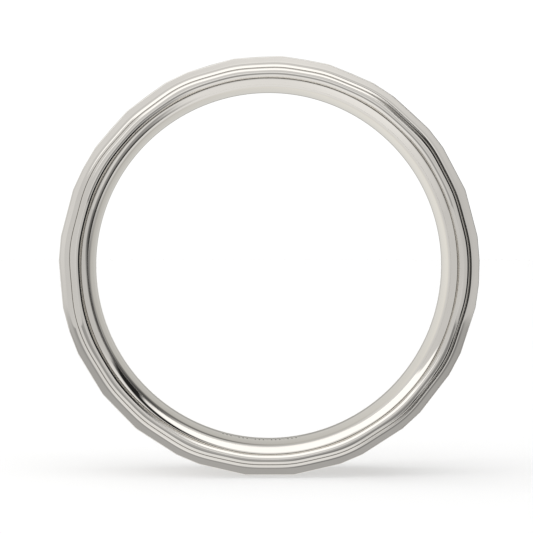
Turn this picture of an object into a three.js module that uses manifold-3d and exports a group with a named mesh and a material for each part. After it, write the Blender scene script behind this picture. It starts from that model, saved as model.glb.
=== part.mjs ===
// A faceted wedding band, modelled in millimetres as the assembly a bench jeweller makes:
// a comfort-fit sleeve, a faceted centre band pressed over it, and a half-round rail seated
// and soldered at each end. The finger axis is Y, the front is -Y, and the ring stands on
// one flat of its centre band with +Z up. The origin is the middle of the finger hole.
import * as THREE from "three";
import { mergeVertices } from "three/addons/utils/BufferGeometryUtils.js";
import Module from "manifold-3d";

const wasm = await Module();
wasm.setup();

// ---- Driving dimensions ----
const BORE_RADIUS = 9.92; // the finger hole at its narrowest, US size 10
const BORE_DOME_RADIUS = 26; // comfort-fit doming of the hole, seen in section
const SLEEVE_RADIUS = 10.46; // outside of the sleeve, where the other rings sit
const EDGE_RADIUS = 11.72; // corners of the facets at the band's side walls
const CROWN_RISE = 0.1; // how much higher the facets stand in the middle row
const HALF_WIDTH = 3.0; // front of a rail, from the middle of the ring
const WALL_Y = 2.25; // the centre band's side walls, from the middle of the ring
const RAIL_RADIUS = 11.12; // outside of a rail
const LIP_FRONT = -2.45; // front of the sleeve's lips, set back from the rails
const SEAT_DEPTH = 0.2; // how far a rail sits inside the centre band's side wall
const SEAM = 0.01; // clearance between two pieces that touch
const SOLDER_LEG = 0.16; // side of the solder ring's triangular section
const TRIM = 0.05; // what the facets take off the centre band's turned blank at the least
const ROW_TILT = THREE.MathUtils.degToRad(7); // slope of the facets in the outer rows

// The facets are cut on an index wheel of 55 stops. A facet spans one stop or two, and each
// row lists its facets' spans anticlockwise, seen from the front.
const STOPS = 55;
const STOP = (2 * Math.PI) / STOPS;
const FOOT_STOP = 41; // the stop at the very bottom, in the middle of the flat it stands on
const FRONT_SPANS = [
  1, 2, 2, 1, 2, 1, 2, 2, 2, 2, 1, 2, 2, 1, 1, 2, 1, 2,
  1, 1, 2, 2, 2, 1, 2, 2, 2, 1, 2, 1, 2, 1, 2, 1, 1,
];
const REAR_TURN = 22; // stops by which the rear row is turned from the front one

// The angle of a stop in the XZ plane, from +X towards +Z.
const stopAngle = (stop) => -Math.PI / 2 + (stop - FOOT_STOP) * STOP;

// ---- The facet rows: each facet is {from, span} in stops ----
function row(spans, firstStop = 0) {
  let from = firstStop;
  return spans.map((span) => {
    const facet = { from, span };
    from += span;
    return facet;
  });
}
const frontRow = row(FRONT_SPANS);
const middleRow = frontRow.map(({ from, span }) => ({
  from: 2 * FOOT_STOP - from - span, // the front row mirrored about the foot
  span,
}));
const rearRow = row(FRONT_SPANS, REAR_TURN);

// How far a place lies inside the circle of the front row's corners, as a share of the
// radius. The place is counted in stops.
function chordDip(place) {
  const at = ((place % STOPS) + STOPS) % STOPS;
  const { from, span } = frontRow.find((facet) => at < facet.from + facet.span);
  return 1 - Math.cos((span * STOP) / 2) / Math.cos((at - from - span / 2) * STOP);
}

// The rails and their seats wave softly under the facets: at each stop, a weighted mean of
// the facets' dip nearby, made a little deeper.
const WAVE_DEPTH = 1.7;
const WAVE_SPREAD = 0.74; // in stops
const dips = Array.from({ length: STOPS }, (_, stop) => {
  let sum = 0;
  let weights = 0;
  for (let away = -3; away <= 3; away += 0.125) {
    const weight = Math.exp(-((away / WAVE_SPREAD) ** 2) / 2);
    sum += weight * chordDip(stop + away);
    weights += weight;
  }
  return (WAVE_DEPTH * sum) / weights;
});

// ---- Turned rings ----
// A closed ring turned from a profile of [radius, y] points. A point's optional third number
// says how much of the rails' wave it follows, from 0 for a true circle to 1.
function turned(profile) {
  const points = [...profile, profile[0]].map(([r, y]) => new THREE.Vector2(r, y));
  // LatheGeometry starts on +Z and turns towards +X, the opposite way to the stops.
  const ring = new THREE.LatheGeometry(points, STOPS, Math.PI / 2 - stopAngle(0));
  const at = ring.getAttribute("position");
  for (let column = 0; column <= STOPS; column++) {
    const dip = dips[(STOPS - column) % STOPS];
    for (let i = 0; i < points.length; i++) {
      const follows = profile[i % profile.length][2] ?? 0;
      const scale = 1 - follows * dip;
      const vertex = column * points.length + i;
      at.setX(vertex, at.getX(vertex) * scale);
      at.setZ(vertex, at.getZ(vertex) * scale);
    }
  }
  return closed(ring);
}

// The geometry with only its positions, and its shared vertices merged.
function closed(geometry) {
  geometry.deleteAttribute("normal");
  geometry.deleteAttribute("uv");
  return mergeVertices(geometry, 1e-4);
}

// The profile of a piece at the rear from that of its twin at the front.
const atRear = (profile) => profile.map(([r, y, follows]) => [r, -y, follows]).reverse();

// ---- Solids for cutting ----
function solid(geometry) {
  return new wasm.Manifold(
    new wasm.Mesh({
      numProp: 3,
      vertProperties: new Float32Array(geometry.getAttribute("position").array),
      triVerts: new Uint32Array(geometry.index.array),
    }),
  );
}

function geometryOf(manifold) {
  const mesh = manifold.getMesh();
  const geometry = new THREE.BufferGeometry();
  geometry.setAttribute("position", new THREE.BufferAttribute(mesh.vertProperties, 3));
  geometry.setIndex(new THREE.BufferAttribute(mesh.triVerts, 1));
  geometry.computeVertexNormals();
  return geometry;
}

// A flat cutter that leaves one facet. Its face stands at the given distance from the finger
// axis where y is pivotY, and leans by tilt towards the front (or the rear, if negative).
const CUTTER = { length: 3.6, width: 8, depth: 1 };
function facetCutter({ from, span }, cornerRadius, pivotY, tilt) {
  const middle = stopAngle(from + span / 2);
  const distance = cornerRadius * Math.cos((span * STOP) / 2);
  const block = new THREE.BoxGeometry(CUTTER.depth, CUTTER.width, CUTTER.length);
  block.translate(CUTTER.depth / 2, 0, 0);
  block.rotateZ(-tilt);
  block.translate(distance, pivotY, 0);
  block.rotateY(-middle);
  return solid(closed(block));
}

// ---- The comfort-fit sleeve ----
const boreAt = (y) => BORE_RADIUS + (y * y) / (2 * BORE_DOME_RADIUS);
function sleeveProfile() {
  const domeEnd = 1.6; // the dome runs this far from the middle, then rounds over to the lip
  const lip = [
    [boreAt(domeEnd), -domeEnd],
    [9.985, -1.86],
    [10.0, -1.94],
    [10.05, -2.06],
    [10.1, -2.145],
    [10.15, -2.21],
    [10.26, -2.32],
    [10.36, -2.395],
    [SLEEVE_RADIUS - 0.02, LIP_FRONT],
    [SLEEVE_RADIUS, LIP_FRONT + 0.02],
  ];
  const dome = [1.3, 0.65, 0, -0.65, -1.3].map((y) => [boreAt(y), y]);
  return [...dome, ...lip, ...atRear(lip)];
}

// ---- A rail: a bead in front, with a chamfer behind that takes the solder ring ----
const railBore = SLEEVE_RADIUS + SEAM;
const railBack = -WALL_Y - SEAM;
const railProfile = [
  [railBore, railBack - SOLDER_LEG],
  [railBore, LIP_FRONT],
  [10.515, -2.84, 0.2],
  [10.53, -2.875, 0.25],
  [10.61, -2.955, 0.35],
  [10.66, -2.985, 0.4],
  [10.735, -HALF_WIDTH, 0.5],
  [10.87, -2.97, 0.7],
  [11.0, -2.87, 0.9],
  [11.09, -2.7, 1],
  [RAIL_RADIUS, -2.53, 1],
  [RAIL_RADIUS, railBack, 1],
  [railBore + SOLDER_LEG, railBack],
];

// ---- The solder ring, a triangle in the corner between rail, sleeve and centre band ----
const solderProfile = [
  [railBore, railBack],
  [railBore, railBack - SOLDER_LEG + 2 * SEAM],
  [railBore + SOLDER_LEG - 2 * SEAM, railBack],
];

// ---- The faceted centre band ----
function centreBand() {
  const seatRadius = RAIL_RADIUS + SEAM;
  const seatMouth = -WALL_Y - SEAT_DEPTH;
  const blankEdge = EDGE_RADIUS + TRIM;
  const blankCrown = EDGE_RADIUS + CROWN_RISE + TRIM;
  // The front half, from the middle of the bore out to the crown. A fillet runs from the
  // side wall forwards along the rail's seat.
  const half = [
    [SLEEVE_RADIUS + SEAM, -WALL_Y],
    [seatRadius, -WALL_Y, 1],
    [seatRadius, seatMouth, 1],
    [seatRadius + 0.02, seatMouth, 1],
    [seatRadius + 0.07, seatMouth + 0.1, 1],
    [seatRadius + 0.16, seatMouth + 0.17, 1],
    [seatRadius + 0.32, -WALL_Y, 1],
    [blankEdge, -WALL_Y],
    [blankCrown, -1.2],
  ];
  const blank = solid(turned([...half, ...atRear(half)]));
  const cutters = [
    ...frontRow.map((facet) => facetCutter(facet, EDGE_RADIUS, -WALL_Y, ROW_TILT)),
    ...middleRow.map((facet) => facetCutter(facet, EDGE_RADIUS + CROWN_RISE, 0, 0)),
    ...rearRow.map((facet) => facetCutter(facet, EDGE_RADIUS, WALL_Y, -ROW_TILT)),
  ];
  return geometryOf(cutters.reduce((band, cutter) => band.subtract(cutter), blank));
}

// ---- Materials ----
const whiteGold = new THREE.MeshStandardMaterial({ color: 0xcdcac3, metalness: 1, roughness: 0.16 });
const facetedGold = new THREE.MeshStandardMaterial({ color: 0xc6c3bc, metalness: 1, roughness: 0.2 });
const solder = new THREE.MeshStandardMaterial({ color: 0xb4b1a8, metalness: 1, roughness: 0.4 });

// ---- The assembly ----
const band = new THREE.Group();
function add(name, geometry, material) {
  const mesh = new THREE.Mesh(geometry, material);
  mesh.name = name;
  band.add(mesh);
}
add("comfort_fit_sleeve", turned(sleeveProfile()), whiteGold);
add("faceted_centre_band", centreBand(), facetedGold);
add("front_edge_rail", turned(railProfile), whiteGold);
add("rear_edge_rail", turned(atRear(railProfile)), whiteGold);
add("front_solder_ring", turned(solderProfile), solder);
add("rear_solder_ring", turned(atRear(solderProfile)), solder);

export default band;
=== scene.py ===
"""A polished wedding band with a faceted centre, standing on a pale studio floor.

Every ring of the band is a closed skin: a grid of columns round the finger axis (Y), each
column a section of [radius, y] points. Lengths are in millimetres until a mesh is made.
"""

import math

import bpy
import numpy as np
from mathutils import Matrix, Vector


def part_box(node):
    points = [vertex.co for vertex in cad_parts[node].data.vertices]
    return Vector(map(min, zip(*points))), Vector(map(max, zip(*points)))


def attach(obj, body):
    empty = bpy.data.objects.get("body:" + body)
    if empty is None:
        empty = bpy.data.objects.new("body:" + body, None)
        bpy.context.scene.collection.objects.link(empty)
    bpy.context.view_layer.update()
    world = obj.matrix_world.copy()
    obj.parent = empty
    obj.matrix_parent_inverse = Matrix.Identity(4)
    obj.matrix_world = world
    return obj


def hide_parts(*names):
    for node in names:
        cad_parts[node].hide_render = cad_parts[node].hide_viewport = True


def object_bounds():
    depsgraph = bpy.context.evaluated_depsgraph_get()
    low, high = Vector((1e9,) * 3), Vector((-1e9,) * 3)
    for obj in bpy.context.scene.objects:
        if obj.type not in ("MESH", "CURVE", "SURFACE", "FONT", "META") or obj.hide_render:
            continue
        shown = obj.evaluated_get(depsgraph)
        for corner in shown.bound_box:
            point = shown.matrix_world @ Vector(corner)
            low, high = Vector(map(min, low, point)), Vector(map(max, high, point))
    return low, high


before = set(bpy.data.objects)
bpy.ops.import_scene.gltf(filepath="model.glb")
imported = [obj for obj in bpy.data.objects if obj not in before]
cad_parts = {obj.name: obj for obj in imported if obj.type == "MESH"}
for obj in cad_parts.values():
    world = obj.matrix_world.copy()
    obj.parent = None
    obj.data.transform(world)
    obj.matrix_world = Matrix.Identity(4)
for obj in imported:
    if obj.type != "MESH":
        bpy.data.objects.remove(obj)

MM = 0.001
cad_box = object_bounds()

# ---- What the frame says ----
CLEARANCE = 0.01  # between two pieces that touch
FACES_OUT = 0.95  # a crown facet's normal points away from the finger axis by this share or more
CROWN_HEIGHT = 0.3  # the crown stands further than this above the rails
SAME_PLANE = 0.9995  # cosine between the normals of triangles in one plane


def extent(node):
    """A CAD ring's smallest and largest radius about the finger axis, and its largest |y|."""
    points = np.array([v.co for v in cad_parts[node].data.vertices]) / MM
    radii = np.hypot(points[:, 0], points[:, 2])
    return radii.min(), radii.max(), np.abs(points[:, 1]).max()


BORE_RADIUS, SLEEVE_RADIUS, _ = extent("comfort_fit_sleeve")
RAIL_BORE, RAIL_RADIUS, RAIL_END = extent("front_edge_rail")
SEAT_MOUTH = extent("faceted_centre_band")[2]
WALL_Y = -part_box("front_edge_rail")[1].y / MM - CLEARANCE


def facet_planes():
    """The flats of the band's crown: each plane's outward normal and its distance from
    the origin."""
    planes = []
    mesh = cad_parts["faceted_centre_band"].data
    for face in sorted(mesh.polygons, key=lambda face: -face.area):
        centre, normal = np.array(face.center) / MM, np.array(face.normal)
        radius = math.hypot(centre[0], centre[2])
        outward = (centre[0] * normal[0] + centre[2] * normal[2]) / radius
        if outward <= FACES_OUT or radius < RAIL_RADIUS + CROWN_HEIGHT:
            continue
        if all(normal @ known < SAME_PLANE for known, _ in planes):
            planes.append((normal, normal @ centre))
    return np.array([normal for normal, _ in planes]), np.array([d for _, d in planes])


FACET_NORMALS, FACET_DISTANCES = facet_planes()

# ---- Columns round the finger axis ----
STOPS = 55  # stops of the index wheel that the facets are cut on; every ridge is at a stop
FOOT = -math.pi / 2  # the stop at the very bottom, where the band stands
NEAR_RIDGE = [0, 0.03, 0.08, 0.16, 0.28, 0.42, 0.58, 0.72, 0.84, 0.92, 0.97]


def ridge_columns():
    """Angles of the columns, closer together near a stop."""
    stop = 2 * math.pi / STOPS
    return np.array([FOOT + (n + share) * stop for n in range(STOPS) for share in NEAR_RIDGE])


COLUMNS = ridge_columns()

# ---- The faceted crown ----
ROUNDED, SHARP = 150.0, 2000.0  # how sharp the ridges are, in 1/mm
REACH = 0.9  # a facet's plane counts only within this cosine of its own normal
OUT_OF_REACH = 99.0
LEAN = 0.05  # a facet of an outer row has a normal with a larger y than this


def crown_and_ridges(angles, ys, normals, distances, sharpness=ROUNDED):
    """The crown's radius at each angle and y, with its ridges rounded a little, and how
    near each place is to a ridge: 1 on it, 0 away from it."""
    around = np.cos(angles)[..., None], np.sin(angles)[..., None]
    along = normals[:, 0] * around[0] + normals[:, 2] * around[1]
    seen = along > REACH
    reached = (distances - ys[..., None] * normals[:, 1]) / np.where(seen, along, 1)
    radii = np.where(seen, reached, OUT_OF_REACH)
    least = radii.min(-1, keepdims=True)
    rounded_off = np.log(np.exp(-sharpness * (radii - least)).sum(-1))
    return least[..., 0] - rounded_off / sharpness, np.minimum(rounded_off / math.log(2), 1)


def row_radii(row, angles, ys, sharpness=ROUNDED):
    """The radius of one row of facets at each angle and y."""
    return crown_and_ridges(angles, ys, FACET_NORMALS[row], FACET_DISTANCES[row], sharpness)[0]


def row_ridge(side):
    """The y at each column where the outer row of facets on that side (-1 is the front)
    meets the middle row."""
    outer = FACET_NORMALS[:, 1] * side > LEAN
    middle = np.abs(FACET_NORMALS[:, 1]) < LEAN
    steps = np.linspace(0, WALL_Y, 200) * side
    ridge = []
    for angle in COLUMNS:
        outer_radii, middle_radii = (
            row_radii(row, np.full_like(steps, angle), steps, SHARP) for row in (outer, middle)
        )
        ridge.append(np.interp(0, (outer_radii - middle_radii)[::-1], steps[::-1]))
    return np.array(ridge)


def facet_dip():
    """How far the facets at the front wall lie inside the circle of their corners, as a
    share of the radius, at each column."""
    outer = FACET_NORMALS[:, 1] < -LEAN
    edge = row_radii(outer, COLUMNS, np.full_like(COLUMNS, -WALL_Y))
    return 1 - edge / edge.max()


# ---- The soft wave of the seats and rails under the facets ----
WAVE_SPREAD = 0.075  # in radians
WAVE_DEPTH = 2.4


def softened(values, spread):
    """The values round the ring, each averaged over its neighbours within about spread
    radians."""
    apart = np.abs(COLUMNS[:, None] - COLUMNS[None, :])
    apart = np.minimum(apart, 2 * math.pi - apart)
    shares = np.exp(-((apart / spread) ** 2) / 2)
    return shares @ values / shares.sum(1)


def seat_dip():
    """How far the seats lie inside their circle at each column, as a share of the radius."""
    soft = softened(facet_dip(), WAVE_SPREAD)
    return soft.mean() + WAVE_DEPTH * (soft - soft.mean())


SEAT_DIP = seat_dip()

# ---- Sections ----


def arc(centre, radii, start, end, steps):
    """Points on an ellipse's arc from one angle to another, in degrees from +r towards +y."""
    turn = np.radians(np.linspace(start, end, steps))
    return [[centre[0] + radii[0] * math.cos(a), centre[1] + radii[1] * math.sin(a)] for a in turn]


def bevel(start, tilt, width):
    """Points down a flat bevel from start, which leans tilt degrees from facing the front.
    The last two are close together, so that the bevel's shading stays flat."""
    slope = math.tan(math.radians(tilt))
    return [[start[0] + w, start[1] + abs(w) * slope] for w in (width * 0.12, width * 0.88, width)]


def at_rear(section):
    return [[r, -y, *rest] for r, y, *rest in reversed(section)]


def ring(name, sections, angles=COLUMNS, **marks):
    """A closed skin from one section for each column, all with as many points. Each mark,
    such as wear, is a number from 0 to 1 for every point, which the metal's material reads."""
    sections = np.array(sections, float)
    columns, points = sections.shape[:2]
    radii, ys = sections[..., 0], sections[..., 1]
    turned = angles[:, None]
    vertices = np.stack([radii * np.cos(turned), ys, radii * np.sin(turned)], -1) * MM
    index = np.arange(columns * points).reshape(columns, points)
    right, down = np.roll(index, -1, 0), np.roll(index, -1, 1)
    both = np.roll(right, -1, 1)
    faces = np.stack([index, down, both, right], -1).reshape(-1, 4)
    mesh = bpy.data.meshes.new(name)
    mesh.from_pydata(vertices.reshape(-1, 3).tolist(), [], faces.tolist())
    mesh.polygons.foreach_set("use_smooth", [True] * len(mesh.polygons))
    for mark, amounts in marks.items():
        layer = mesh.attributes.new(mark, "FLOAT", "POINT")
        layer.data.foreach_set("value", np.broadcast_to(amounts, radii.shape).ravel().tolist())
    mesh.update()
    piece = bpy.data.objects.new(name, mesh)
    bpy.context.scene.collection.objects.link(piece)
    return piece


def swept(section):
    """The same section at every column. A point's optional third number says how much of
    the seats' soft wave it follows."""
    points = np.array([[*point, 0][:3] for point in section], float)
    sections = np.repeat(points[None, :, :2], len(COLUMNS), 0)
    sections[..., 0] *= 1 - SEAT_DIP[:, None] * points[None, :, 2]
    return sections


# ---- The comfort-fit sleeve ----
BORE_DOME = 26.0  # radius of the bore's comfort-fit doming, seen in section
DOME_END = 1.6  # |y| where the bore's dome turns into the rounded lip
LIP_FRONT = 2.45  # |y| of the sleeve's lips, set back from the rails
LIP_CORNER = 0.02  # radius of the corner between a lip and the sleeve's outside
LIP_CREASE = 10.12  # where the lip turns from facing forwards to facing inwards
CREASE_WIDTH = 0.002
# The lip's radius and how many degrees it leans from facing the front, inwards from its rim.
LIP_TILTS = [
    (10.44, 31),
    (10.32, 37),
    (10.26, 40.5),
    (LIP_CREASE + CREASE_WIDTH / 2, 41.5),
    (LIP_CREASE - CREASE_WIDTH / 2, 56),
    (10.1, 57),
    (10.05, 62),
    (10.02, 67),
    (10.0, 76),
    (9.985, 82),
]

# An ornament of small engraved lozenges inside the bore, at the bottom. Its places and pitch
# are in degrees round the finger axis.
MARKS_START, MARKS_END = -106.0, -79.0
MARK_PITCH = 1.35
MARK_COLUMNS = 0.135  # from one column to the next under the ornament
MARK_MARGIN = 0.5
MARKS_Y = 0.35
MARK_HEIGHT = 1.1
MARK_DEPTH = 0.05
MARK_SLOPE = 1.6  # how steeply a mark's sides go down
MARK_NARROWING = 1.5  # how much slimmer than its place a mark is
GROUP = 4  # every fourth mark is a short one
SHORT_MARK = 0.45  # its height, as a share of the others'
MARK_ROWS = (-0.55, -0.4, -0.25, -0.1, 0.1, 0.25, 0.4, 0.55)  # rows of points, as shares of a mark's height


def bore_at(y):
    return BORE_RADIUS + y * y / (2 * BORE_DOME)


def lip():
    """A rounded lip at the front, leaning over towards the rail, from the bore outwards."""
    crease = LIP_CREASE + CREASE_WIDTH * np.array([2.5, 0.5, -0.5, -2.5])
    rim, inner = SLEEVE_RADIUS - LIP_CORNER, LIP_TILTS[-1][0]
    radii = np.sort([*np.linspace(rim, inner, 30), *crease])[::-1]
    places, leans = zip(*reversed(LIP_TILTS))
    tilts = np.radians(np.interp(radii, places, leans))
    steps = np.tan((tilts[1:] + tilts[:-1]) / 2) * -np.diff(radii)
    depths = -LIP_FRONT + np.concatenate([[0], np.cumsum(steps)])
    face = [[r, y] for r, y in zip(radii[::-1], depths[::-1])]
    return face + arc((rim, -LIP_FRONT + LIP_CORNER), (LIP_CORNER, LIP_CORNER), 290, 360, 4)


def sleeve_section():
    mark_rows = [MARKS_Y + MARK_HEIGHT * share for share in MARK_ROWS]
    rows = sorted([*np.linspace(DOME_END, -DOME_END, 15), *mark_rows], reverse=True)
    bore = [[bore_at(y), y] for y in rows]
    return [*bore, *lip(), *at_rear(lip())]


def sleeve_columns():
    """The columns, with more where the ornament is."""
    fine = np.arange(MARKS_START - MARK_MARGIN, MARKS_END + MARK_MARGIN, MARK_COLUMNS)
    fine = FOOT + np.mod(np.radians(fine) - FOOT, 2 * math.pi)
    return np.unique(np.round(np.concatenate([COLUMNS, fine]), 5))


def engraved(angles, ys):
    """How deep the bore's ornament is at each place, from 0 to 1."""
    along = np.mod(np.degrees(angles) - MARKS_START, 360)
    number = np.floor(along / MARK_PITCH)
    off_middle = np.abs(along / MARK_PITCH - number - 0.5) * 2
    reach = np.where(number % GROUP == GROUP - 1, SHORT_MARK, 1.0)
    up = np.abs(ys - MARKS_Y) / (MARK_HEIGHT / 2)
    depth = MARK_SLOPE * (reach - up - MARK_NARROWING * off_middle * reach)
    return np.where(along < MARKS_END - MARKS_START, np.clip(depth, 0, 1), 0)


def engraved_sleeve():
    angles = sleeve_columns()
    sections = np.repeat(np.array(sleeve_section())[None], len(angles), 0)
    depth = engraved(angles[:, None], sections[..., 1])
    sections[..., 0] += depth * MARK_DEPTH
    # the engraving's depth also paints shade into its marks, darker where they are deeper
    return ring("comfort_fit_sleeve_skin", sections, angles, recess=depth)


# ---- The rails and the solder behind them ----
RAIL_CREST = 10.735  # radius of the rail's foremost line
INNER_ROUND, OUTER_ROUND = 0.184, 0.44  # section radii of the bead on each side of its crest
INNER_BEVEL = (43, -0.09)  # tilt in degrees, and width towards the finger
OUTER_BEVEL = (44, 0.09)
FOOT_IN, FOOT_BACK = 0.01, 0.04  # from the inner bevel to the straight side facing the lip
SIDE_ROUND = (0.1, 0.26)  # the bead's turn into its outside: across and along the finger axis
SIDE_DEPTH = 0.29  # how far behind the outer bevel that turn ends
CREST_WAVE = 0.45  # how much of the wave the bead follows up to its crest
WAVE_RAMP = 0.2  # it follows the whole wave from this far outside the crest
CHAMFER = 0.16  # behind the rail, for the solder
SOLDER = 0.14  # side of the solder's section
SOLDER_HOLLOW = 0.06
CREST_WEAR = 0.6
CREST_BAND = (2.99, 0.01)  # |y| where the crest's wear starts, and over how much it grows
PAINTED_GAP_SHADE = 0.5  # how dark the painted shade in the gap between a rail and its seat is
GAP_SHADE_BAND = (0.03, 0.015)  # how far inside the rail's radius it starts, and over how much it grows


def rail_section():
    """A bead with a bright-cut bevel on each side, and a chamfer behind for the solder."""
    back = -WALL_Y - CLEARANCE
    inner = arc((RAIL_CREST, INNER_ROUND - RAIL_END), (INNER_ROUND, INNER_ROUND), 229, 270, 8)
    inner = [*reversed(bevel(inner[0], *INNER_BEVEL)), *inner]
    foot = [inner[0][0] - FOOT_IN, inner[0][1] + FOOT_BACK]
    outer = arc((RAIL_CREST, OUTER_ROUND - RAIL_END), (OUTER_ROUND, OUTER_ROUND), 270, 296, 8)[1:]
    outer += bevel(outer[-1], *OUTER_BEVEL)
    side = arc((RAIL_RADIUS - SIDE_ROUND[0], outer[-1][1] + SIDE_DEPTH), SIDE_ROUND, 300, 360, 8)
    bead = [foot, *inner, *outer, *side]
    ramp = (RAIL_CREST, RAIL_CREST + WAVE_RAMP)
    return [
        [RAIL_BORE, -LIP_FRONT],
        *[[r, y, float(np.interp(r, ramp, (CREST_WAVE, 1)))] for r, y in bead],
        [RAIL_RADIUS, back, 1],
        [RAIL_BORE + CHAMFER, back],
        [RAIL_BORE, back - CHAMFER],
    ]


def rail_skin(name, section):
    """A rail, worn a little on its crest, which rubs on whatever it is laid on, with shade
    painted darker on its outside, where it meets its seat.
    """
    radii, ys = np.array([point[:2] for point in section]).T
    wear = CREST_WEAR * np.clip((np.abs(ys) - CREST_BAND[0]) / CREST_BAND[1], 0, 1)
    # painted shade: darker on the rail's outside, where it meets the band's seat
    recess = PAINTED_GAP_SHADE * np.clip((radii - RAIL_RADIUS + GAP_SHADE_BAND[0]) / GAP_SHADE_BAND[1], 0, 1)
    return ring(name, swept(section), wear=wear, recess=recess)


def seam_section():
    """The solder's slightly hollow face, in the corner behind the rail."""
    back = -WALL_Y - CLEARANCE
    return [
        [RAIL_BORE, back],
        [RAIL_BORE, back - SOLDER],
        [RAIL_BORE + SOLDER_HOLLOW, back - SOLDER_HOLLOW],
        [RAIL_BORE + SOLDER, back],
    ]


# ---- The faceted centre band ----
WALL_EDGE = 0.07  # radius of the rounded corner between the band's side wall and its crown
EDGE_WEAR = 0.7
FILLET = 0.3  # how far the wall's fillet reaches out from the rail's seat
FILLET_ROUND = 0.311  # its section radius
FILLET_BEVEL = (-43, -0.08)  # tilt in degrees, and width towards the seat
FILLET_EDGE = 0.02  # thickness of the fillet's thin end, at the mouth of the seat
RIDGE_ROWS = np.array([-0.14, -0.07, -0.025, 0.025, 0.07, 0.14])


def crown_rows(side):
    """The crown's y values at each column on one side, from the wall's corner inwards,
    closer together near the ridge between the outer and the middle row."""
    corner = side * (WALL_Y - WALL_EDGE)
    ridge = row_ridge(side)[:, None]
    near = ridge - side * RIDGE_ROWS
    outer = corner + (near[:, :1] - corner) * np.array([0, 0.35, 0.7])
    inner = near[:, -1:] * np.array([0.75, 0.5, 0.25])
    return np.hstack([outer, near, inner])


def rail_seat():
    """The band's bore, a rail's seat in it, and the fillet out to the side wall."""
    seat = RAIL_RADIUS + CLEARANCE
    centre = (seat + FILLET_EDGE + FILLET, -WALL_Y - FILLET_ROUND)
    hollow = arc(centre, (FILLET_ROUND, FILLET_ROUND), 90, 130, 10)
    hollow += bevel(hollow[-1], *FILLET_BEVEL)
    fillet = [[seat + FILLET_EDGE, -SEAT_MOUTH], *reversed(hollow)]
    return swept([
        [SLEEVE_RADIUS + CLEARANCE, -WALL_Y],
        [seat, -WALL_Y, 1],
        [seat, -SEAT_MOUTH, 1],
        *[[r, y, 1] for r, y in fillet],
    ])


def band_half(side):
    """One side of the centre band's section at each column, as if it were the front: the
    bore, the rail's seat, the fillet, the wall and its corner, then the crown. Its wear is
    on the crown's ridges and the corner, and painted shade darkens the gap beside the rail."""
    inside = rail_seat()
    rows = crown_rows(side)
    around = np.repeat(COLUMNS[:, None], rows.shape[1], 1)
    crown, ridges = crown_and_ridges(around, rows, FACET_NORMALS, FACET_DISTANCES)
    turn = np.radians(np.linspace(270, 350, 7))
    corner = np.stack([
        crown[:, :1] + WALL_EDGE * (np.cos(turn) - 1),
        np.broadcast_to(-WALL_Y + WALL_EDGE * (1 + np.sin(turn)), (len(COLUMNS), len(turn))),
    ], -1)
    start = inside[:, -1:, :]
    wall = start + (corner[:, :1] - start) * np.array([0.3, 0.6, 0.85])[None, :, None]
    sections = np.hstack([inside, wall, corner, np.stack([crown, -side * rows], -1)])
    wear, recess = np.zeros(sections.shape[:2]), np.zeros(sections.shape[:2])
    recess[:, 1:4] = PAINTED_GAP_SHADE  # painted shade on the seat and the fillet's thin end
    crown_start = sections.shape[1] - crown.shape[1]
    wear[:, crown_start:] = ridges
    wear[:, crown_start - len(turn) + 2:crown_start - 1] = EDGE_WEAR
    return sections, wear, recess


def faceted_band():
    front, front_wear, front_recess = band_half(-1)
    rear, rear_wear, rear_recess = band_half(1)
    sections = np.hstack([front, rear[:, ::-1] * [1, -1]])
    wear = np.hstack([front_wear, rear_wear[:, ::-1]])
    recess = np.hstack([front_recess, rear_recess[:, ::-1]])
    return ring("faceted_centre_band_skin", sections, wear=wear, recess=recess)


# ---- The pieces ----
sleeve = engraved_sleeve()
rail = rail_skin("front_edge_rail_skin", rail_section())
rear_rail = rail_skin("rear_edge_rail_skin", at_rear(rail_section()))
band = faceted_band()
solder = ring("front_solder_ring_skin", swept(seam_section()))
rear_solder = ring("rear_solder_ring_skin", swept(at_rear(seam_section())))

# ---- Node helpers ----


def new_node(tree, kind, **settings):
    node = tree.nodes.new(kind)
    for setting, value in settings.items():
        setattr(node, setting, value)
    return node


def feed(tree, socket, value):
    """Links the socket to another node's output, or sets it to a value."""
    if isinstance(value, bpy.types.NodeSocket):
        tree.links.new(value, socket)
    else:
        socket.default_value = value


def calculate(tree, operation, *values):
    node = new_node(tree, "ShaderNodeMath", operation=operation)
    for socket, value in zip(node.inputs, values):
        feed(tree, socket, value)
    return node.outputs[0]


def times(tree, first, second):
    return calculate(tree, "MULTIPLY", first, second)


def fade(tree, value, start, end):
    """0 where the value is at start, 1 where it is at end, and smooth between them."""
    node = new_node(tree, "ShaderNodeMapRange", interpolation_type="SMOOTHSTEP")
    feed(tree, node.inputs["Value"], value)
    node.inputs["From Min"].default_value = min(start, end)
    node.inputs["From Max"].default_value = max(start, end)
    node.inputs["To Min"].default_value = float(start > end)
    node.inputs["To Max"].default_value = float(start <= end)
    return node.outputs["Result"]


def blend(tree, share, first, second):
    """The first number where share is 0, the second where it is 1."""
    node = new_node(tree, "ShaderNodeMix", data_type="FLOAT")
    feed(tree, node.inputs[0], share)
    feed(tree, node.inputs[2], first)
    feed(tree, node.inputs[3], second)
    return node.outputs[0]


def blend_colours(tree, share, first, second):
    node = new_node(tree, "ShaderNodeMix", data_type="RGBA")
    feed(tree, node.inputs[0], share)
    feed(tree, node.inputs[6], first)
    feed(tree, node.inputs[7], second)
    return node.outputs[2]


def split_xyz(tree, vector):
    node = new_node(tree, "ShaderNodeSeparateXYZ")
    feed(tree, node.inputs[0], vector)
    return node.outputs


def noise(tree, vector, scale, detail=2.0):
    node = new_node(tree, "ShaderNodeTexNoise")
    feed(tree, node.inputs["Vector"], vector)
    node.inputs["Scale"].default_value = scale
    node.inputs["Detail"].default_value = detail
    return node.outputs["Fac"]


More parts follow.
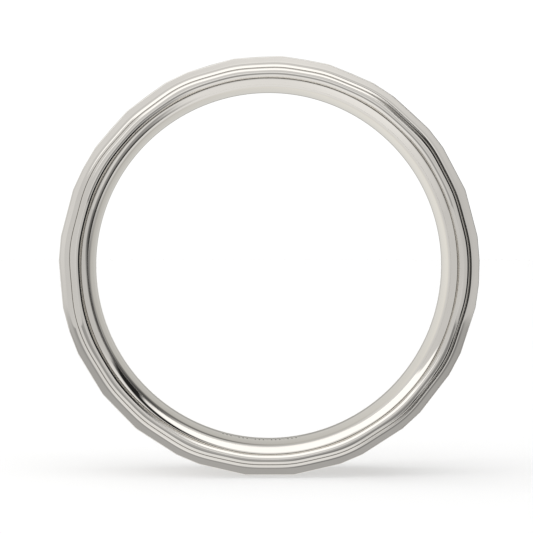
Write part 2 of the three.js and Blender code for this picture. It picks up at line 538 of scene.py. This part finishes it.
# ---- Metals ----
# Polishing lines and scratches: how many noise cells per radian round the finger, and per
# metre across.
LINES = (5, 11000)
SCRATCHES = (6, 26000)
SCRATCH_START, SCRATCH_FULL = 0.7, 0.78  # only the noise's peaks are scratches
PATCHES_PER_METRE = 350
BUMP_STRENGTH = 0.6
WORN = (0.84, 0.815, 0.775)
# Painted shade: the dark tone blended into the gaps between parts and into the engraved marks.
PAINTED_SHADE_TONE = (0.05, 0.047, 0.042)
POLISHED_TONES = [(0.765, 0.738, 0.695), (0.785, 0.758, 0.714)]
FACETED_TONES = [(0.76, 0.733, 0.69), (0.78, 0.753, 0.709)]
SOLDER_TONES = [(0.55, 0.53, 0.48), (0.64, 0.62, 0.57)]
WORN_SOLDER = (0.7, 0.68, 0.64)


def lay_vector(tree, place, along, across):
    """Coordinates for polishing lines that run round the finger: along counts per radian,
    across counts per metre."""
    x, y, z = split_xyz(tree, place)
    angle = calculate(tree, "ARCTAN2", z, x)
    radius = calculate(tree, "SQRT", calculate(tree, "ADD", times(tree, x, x), times(tree, z, z)))
    join = new_node(tree, "ShaderNodeCombineXYZ")
    feed(tree, join.inputs[0], times(tree, angle, along))
    feed(tree, join.inputs[1], times(tree, radius, across))
    feed(tree, join.inputs[2], times(tree, y, across))
    return join.outputs[0]


def mark(tree, name):
    """What ring() was told about each point under that name, or 0."""
    return new_node(tree, "ShaderNodeAttribute", attribute_name=name).outputs["Fac"]


def metal(name, tones, roughness, line_height, wear_tone):
    """A metal between two tones in soft patches, with polishing lines round the finger,
    sparse fine scratches, and edges worn to wear_tone. Its gaps and engraved marks get
    painted shade, a dark tone that also roughens them. Roughness is the smoothest and the
    roughest it gets, and line_height is in metres."""
    material = bpy.data.materials.new(name)
    material.use_nodes = True
    tree = material.node_tree
    shader = tree.nodes["Principled BSDF"]
    shader.inputs["Metallic"].default_value = 1
    place = new_node(tree, "ShaderNodeTexCoord").outputs["Object"]
    patches = noise(tree, place, PATCHES_PER_METRE, 3)
    lines = noise(tree, lay_vector(tree, place, *LINES), 1, 3)
    peaks = noise(tree, lay_vector(tree, place, *SCRATCHES), 1, 2)
    scratches = fade(tree, peaks, SCRATCH_START, SCRATCH_FULL)
    rubbed = times(tree, mark(tree, "wear"), calculate(tree, "ADD", patches, 0.3))
    worn = fade(tree, rubbed, 0.1, 0.8)
    # painted shade, marked on the gaps between parts and on the engraved marks; it also roughens them
    recess = mark(tree, "recess")
    toned = blend_colours(tree, fade(tree, patches, 0.35, 0.65), (*tones[0], 1), (*tones[1], 1))
    coloured = blend_colours(tree, worn, toned, (*wear_tone, 1))
    # blends in the painted shade wherever that mark is set
    coloured = blend_colours(tree, fade(tree, recess, 0, 0.5), coloured, (*PAINTED_SHADE_TONE, 1))
    feed(tree, shader.inputs["Base Color"], coloured)
    dull = lines
    for duller in (scratches, worn, recess):
        dull = calculate(tree, "MAXIMUM", dull, duller)
    feed(tree, shader.inputs["Roughness"], blend(tree, dull, *roughness))
    bump = new_node(tree, "ShaderNodeBump")
    bump.inputs["Strength"].default_value = BUMP_STRENGTH
    bump.inputs["Distance"].default_value = line_height
    feed(tree, bump.inputs["Height"], calculate(tree, "SUBTRACT", lines, scratches))
    feed(tree, shader.inputs["Normal"], bump.outputs[0])
    return material


polished = metal("polished_finish", POLISHED_TONES, (0.012, 0.05), 3e-7, WORN)
faceted = metal("faceted_finish", FACETED_TONES, (0.012, 0.045), 2e-7, WORN)
soldered = metal("soldered_finish", SOLDER_TONES, (0.2, 0.45), 2e-6, WORN_SOLDER)

for piece, node, material, slot in [
    (sleeve, "comfort_fit_sleeve", polished, "polished_white_gold"),
    (rail, "front_edge_rail", polished, "polished_white_gold"),
    (rear_rail, "rear_edge_rail", polished, "polished_white_gold"),
    (band, "faceted_centre_band", faceted, "faceted_white_gold"),
    (solder, "front_solder_ring", soldered, "solder_seam"),
    (rear_solder, "rear_solder_ring", soldered, "solder_seam"),
]:
    piece.data.materials.append(material)
    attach(piece, "root")
    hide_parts(node)

# ---- Floor ----
FLOOR_SIDE = 4.0  # metres
PAPER = (0.75, 0.75, 0.75, 1)
PAPER_ROUGHNESS = 0.9


def studio_floor():
    half, level = FLOOR_SIDE / 2, cad_box[0][2]
    corners = [(-half, -half), (half, -half), (half, half), (-half, half)]
    mesh = bpy.data.meshes.new("studio_floor")
    mesh.from_pydata([(x, y, level) for x, y in corners], [], [(0, 1, 2, 3)])
    paper = bpy.data.materials.new("white_paper")
    paper.use_nodes = True
    shader = paper.node_tree.nodes["Principled BSDF"]
    shader.inputs["Base Color"].default_value = PAPER
    shader.inputs["Roughness"].default_value = PAPER_ROUGHNESS
    mesh.materials.append(paper)
    floor = bpy.data.objects.new("studio_floor", mesh)
    floor.visible_glossy = False  # the band mirrors the studio, in which the table is counted too
    bpy.context.scene.collection.objects.link(floor)
    return floor


studio_floor()

# ---- The studio: how bright each direction is, where 1 is white ----
# x, y and z below are the parts of a direction's unit vector: right, away and up.
LEFT, RIGHT = 0.72, 0.65  # the walls beside the camera
CEILING = 0.85
BEHIND_LEFT, BEHIND_RIGHT = 0.84, 0.54  # the backdrop, brightest at the lower left
TABLE_LEFT, TABLE_RIGHT = 0.38, 0.27  # the table between the camera and the band
TABLE_EDGE = 0.48  # its lighter near edge, just below the camera
NEAR_FLOOR, LIT_FLOOR = 0.72, 0.92  # round the band, and right under it
HORIZON_BEND = 0.33  # how far the table's far edge drops below level at the sides, per |x|
PANEL = 1.35
DARK = 0.02
BACKDROP = 1.05  # what the camera itself sees behind the floor
WARM_BACK = (1.02, 1.0, 0.945, 1)  # the backdrop's tint in the band's reflections

# Soft round lights and screens: azimuth, polar angle, full out to this many degrees, gone at
# this many, and brightness. toward() says how the angles count.
SPOTS = [
    (95, 10, 3, 12, 1.0),  # light just above the camera
    (89, 132, 8, 22, 0.6),  # screen over the backdrop
    (0, 135, 8, 40, 0.46),  # wide screen at the rear right
    (5, 116, 6, 20, 0.25),  # darker screen at the right, in front of it
    (52, 140, 13, 30, 0.2),  # screen at the upper rear right
    (75, 178, 1, 4, 0.35),  # small gap straight behind
    (50, 60, 8, 26, 1.0),  # light at the upper right
    (240, 66, 6, 26, 1.03),  # light at the lower left
    (145, 7, 3, 8, 0.84),  # light at the camera's upper left
]

# The soft panel over the band is an oval on a level ceiling, one unit above the band: its
# middle and its half sizes along x and y, and how far its left part is drawn to the front.
PANEL_MIDDLE = (-0.5, -0.1)
PANEL_REACH = (1.6, 0.5)
PANEL_SKEW = -0.8

# A tall black flag stands at the right, in line with the band. It leans back.
FLAG_LEAN = 0.5
FLAG_Y = 0.06
FLAG_START, FLAG_FULL = 0.4, 0.6  # in x
# Its black core and soft edge, as distances from its middle, and its strength: below the
# band, then above it.
FLAG_CORE = (0.05, 0.2)
FLAG_EDGE = (0.17, 0.33)
FLAG_STRENGTH = (0.6, 0.85)

# Two thin black strips at the right: y, and the x where each starts and is full.
STRIPS = [(-0.167, 0.3, 0.75), (0.063, 0.42, 0.8)]
STRIP_CORE, STRIP_EDGE = 0.045, 0.07


def toward(azimuth, polar):
    """The direction polar degrees away from the front (-Y), on the side that azimuth gives:
    0 is the right (+X) and 90 is up."""
    azimuth, polar = math.radians(azimuth), math.radians(polar)
    aside = math.sin(polar)
    return (aside * math.cos(azimuth), -math.cos(polar), aside * math.sin(azimuth))


def angle_from(tree, direction, azimuth, polar):
    """How many degrees the direction is away from toward(azimuth, polar)."""
    dot = new_node(tree, "ShaderNodeVectorMath", operation="DOT_PRODUCT")
    feed(tree, dot.inputs[0], direction)
    dot.inputs[1].default_value = toward(azimuth, polar)
    angle = calculate(tree, "ARCCOSINE", dot.outputs["Value"])
    return calculate(tree, "DEGREES", angle)


def distance(tree, value, middle):
    return calculate(tree, "ABSOLUTE", calculate(tree, "SUBTRACT", value, middle))


def room(tree, direction, x, y, z):
    """The studio without its lights and screens: walls, ceiling, backdrop and table."""
    slant = calculate(tree, "MULTIPLY_ADD", z, 0.6, x)
    behind = blend(tree, fade(tree, slant, -0.3, 0.2), BEHIND_LEFT, BEHIND_RIGHT)
    sides = blend(tree, fade(tree, x, -0.6, 0.6), LEFT, RIGHT)
    above = blend(tree, fade(tree, z, 0.3, 0.9), sides, CEILING)
    above = blend(tree, fade(tree, y, 0.2, 0.8), above, behind)
    table = blend(tree, fade(tree, x, 0.02, 0.12), TABLE_LEFT, TABLE_RIGHT)
    edge = fade(tree, angle_from(tree, direction, -90, 12), 24, 6)
    table = blend(tree, edge, table, TABLE_EDGE)
    lit = blend(tree, fade(tree, z, -0.15, -0.8), NEAR_FLOOR, LIT_FLOOR)
    below = blend(tree, fade(tree, y, -0.72, -0.42), table, lit)
    below = blend(tree, fade(tree, y, 0.3, 0.9), below, behind)
    rise = calculate(tree, "MULTIPLY_ADD", calculate(tree, "ABSOLUTE", x), HORIZON_BEND, z)
    return blend(tree, fade(tree, rise, -0.006, 0.004), below, above)


def overhead_panel(tree, x, y, z):
    """Two masks: the soft panel over the band, and the dark gap along its right edge."""
    across = calculate(tree, "DIVIDE", x, z)
    along = calculate(tree, "DIVIDE", y, z)
    from_middle = calculate(tree, "SUBTRACT", across, PANEL_MIDDLE[0])
    left = calculate(tree, "MINIMUM", from_middle, 0)
    skewed = calculate(tree, "MULTIPLY_ADD", left, PANEL_SKEW, along)
    wide = calculate(tree, "DIVIDE", from_middle, PANEL_REACH[0])
    deep = calculate(tree, "SUBTRACT", skewed, PANEL_MIDDLE[1])
    deep = calculate(tree, "DIVIDE", deep, PANEL_REACH[1])
    squares = calculate(tree, "ADD", times(tree, wide, wide), times(tree, deep, deep))
    out = calculate(tree, "SQRT", squares)  # 1 at the panel's outline
    overhead = fade(tree, z, 0.1, 0.3)
    panel = times(tree, fade(tree, out, 1.1, 0.85), overhead)
    gap = times(tree, fade(tree, out, 1.0, 1.1), fade(tree, out, 1.75, 1.4))
    gap = times(tree, gap, fade(tree, across, 0.05, 0.6))
    gap = times(tree, gap, fade(tree, along, 0.1, -0.1))
    return panel, times(tree, gap, overhead)


def black_flag(tree, x, y, z):
    """A mask of the tall flag."""
    upper = fade(tree, z, -0.5, -0.1)
    off = distance(tree, calculate(tree, "MULTIPLY_ADD", z, -FLAG_LEAN, y), FLAG_Y)
    core, edge, strength = (
        blend(tree, upper, *pair) for pair in (FLAG_CORE, FLAG_EDGE, FLAG_STRENGTH)
    )
    past_core = calculate(tree, "SUBTRACT", off, core)
    ramp = calculate(tree, "DIVIDE", past_core, calculate(tree, "SUBTRACT", edge, core))
    near = times(tree, fade(tree, ramp, 1, 0), strength)
    return times(tree, near, fade(tree, x, FLAG_START, FLAG_FULL))


def studio_brightness(tree, direction):
    x, y, z = split_xyz(tree, direction)
    light = room(tree, direction, x, y, z)
    for azimuth, polar, full, gone, brightness in SPOTS:
        near = fade(tree, angle_from(tree, direction, azimuth, polar), gone, full)
        light = blend(tree, near, light, brightness)
    panel, gap = overhead_panel(tree, x, y, z)
    light = blend(tree, panel, light, PANEL)
    light = blend(tree, gap, light, DARK)
    light = blend(tree, black_flag(tree, x, y, z), light, DARK)
    for level, start, full in STRIPS:
        near = fade(tree, distance(tree, y, level), STRIP_EDGE, STRIP_CORE)
        light = blend(tree, times(tree, near, fade(tree, x, start, full)), light, DARK)
    return light


def studio_world():
    """Lights the scene from every direction, and shows the camera a white backdrop."""
    world = bpy.data.worlds.new("studio")
    world.use_nodes = True
    bpy.context.scene.world = world
    tree = world.node_tree
    background = tree.nodes["Background"]
    direction = new_node(tree, "ShaderNodeTexCoord").outputs["Generated"]
    seen = new_node(tree, "ShaderNodeLightPath").outputs["Is Camera Ray"]
    light = blend(tree, seen, studio_brightness(tree, direction), BACKDROP)
    feed(tree, background.inputs["Strength"], light)
    away = split_xyz(tree, direction)[1]
    warm = times(tree, fade(tree, away, 0.5, 0.95), calculate(tree, "SUBTRACT", 1, seen))
    tint = blend_colours(tree, warm, (1, 1, 1, 1), WARM_BACK)
    feed(tree, background.inputs["Color"], tint)


FILL = 1.82


def floor_fill():
    """Whitens the floor evenly. It casts no shadow, so the studio's own soft one stays pale."""
    lamp = bpy.data.lights.new("floor_fill", "SUN")
    lamp.energy = FILL
    lamp.use_shadow = False
    fill = bpy.data.objects.new("floor_fill", lamp)
    fill.visible_glossy = False
    bpy.context.scene.collection.objects.link(fill)


studio_world()
floor_fill()

# ---- Camera ----
CAMERA_PLACE = (-0.89, -106.0, 1.04)
CAMERA_AIM = (-0.148, 0.0, -0.036)
SENSOR = 36.0
LENS = 125.8
NEAREST, FARTHEST = 0.001, 10  # metres


def camera():
    lens = bpy.data.cameras.new("camera")
    lens.sensor_width = SENSOR
    lens.lens = LENS
    lens.clip_start = NEAREST
    lens.clip_end = FARTHEST
    seer = bpy.data.objects.new("camera", lens)
    place, aim = Vector(CAMERA_PLACE) * MM, Vector(CAMERA_AIM) * MM
    seer.location = place
    seer.rotation_euler = (aim - place).to_track_quat("-Z", "Y").to_euler()
    bpy.context.scene.collection.objects.link(seer)
    bpy.context.scene.camera = seer


camera()
bpy.context.scene.view_settings.view_transform = "Standard"
